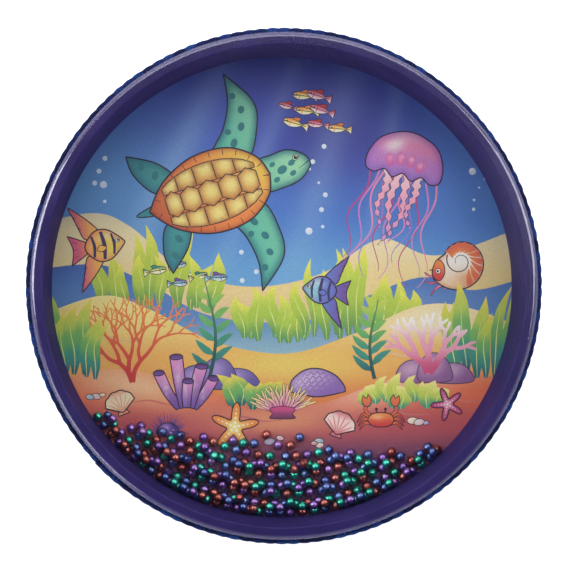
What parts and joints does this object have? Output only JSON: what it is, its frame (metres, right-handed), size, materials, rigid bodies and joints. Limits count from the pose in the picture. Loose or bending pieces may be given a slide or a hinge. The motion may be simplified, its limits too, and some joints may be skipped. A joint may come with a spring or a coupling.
{
  "type": "ocean drum",
  "caption": "Shallow round ocean drum with a clear head, a printed head and a woven band; loose metal beads roll inside it and sound like surf when it is tilted.",
  "frame": {"origin": "on the drum's axis, at the outer face of the printed head, on which the drum lies", "axes": "+Z along the drum's axis, out through the clear head; +Y towards the top of the printed picture"},
  "size_m": [0.3098, 0.3098, 0.0635],
  "materials": {
    "purple_shell": "satin purple paint",
    "clear_film": "clear, glossy",
    "printed_film": "printed, satin",
    "glue": "set adhesive",
    "blue_webbing": "coarse woven webbing",
    "teal_beads": "metallic lacquer",
    "violet_beads": "metallic lacquer",
    "indigo_beads": "metallic lacquer",
    "copper_beads": "metallic lacquer"
  },
  "bodies": {
    "drum": {"shell": "purple_shell", "clear_head": "clear_film", "printed_head": "printed_film", "front_glue_ring": "glue", "back_glue_ring": "glue", "woven_band": "blue_webbing"},
    "bead_ring_1": {"teal_beads_ring_1": "teal_beads", "violet_beads_ring_1": "violet_beads", "indigo_beads_ring_1": "indigo_beads", "copper_beads_ring_1": "copper_beads"},
    "bead_ring_2": {"teal_beads_ring_2": "teal_beads", "violet_beads_ring_2": "violet_beads", "indigo_beads_ring_2": "indigo_beads", "copper_beads_ring_2": "copper_beads"},
    "bead_ring_3": {"teal_beads_ring_3": "teal_beads", "violet_beads_ring_3": "violet_beads", "indigo_beads_ring_3": "indigo_beads", "copper_beads_ring_3": "copper_beads"},
    "bead_ring_4": {"teal_beads_ring_4": "teal_beads", "violet_beads_ring_4": "violet_beads", "indigo_beads_ring_4": "indigo_beads", "copper_beads_ring_4": "copper_beads"}
  },
  "joints": [
    {"name": "ring_1_roll", "type": "hinge", "parent": "drum", "child": "bead_ring_1", "pos_m": [0, 0, 0.0035], "axis": [0, 0, 1], "continuous": true},
    {"name": "ring_2_roll", "type": "hinge", "parent": "drum", "child": "bead_ring_2", "pos_m": [0, 0, 0.0035], "axis": [0, 0, 1], "continuous": true},
    {"name": "ring_3_roll", "type": "hinge", "parent": "drum", "child": "bead_ring_3", "pos_m": [0, 0, 0.0035], "axis": [0, 0, 1], "continuous": true},
    {"name": "ring_4_roll", "type": "hinge", "parent": "drum", "child": "bead_ring_4", "pos_m": [0, 0, 0.0035], "axis": [0, 0, 1], "continuous": true}
  ]
}
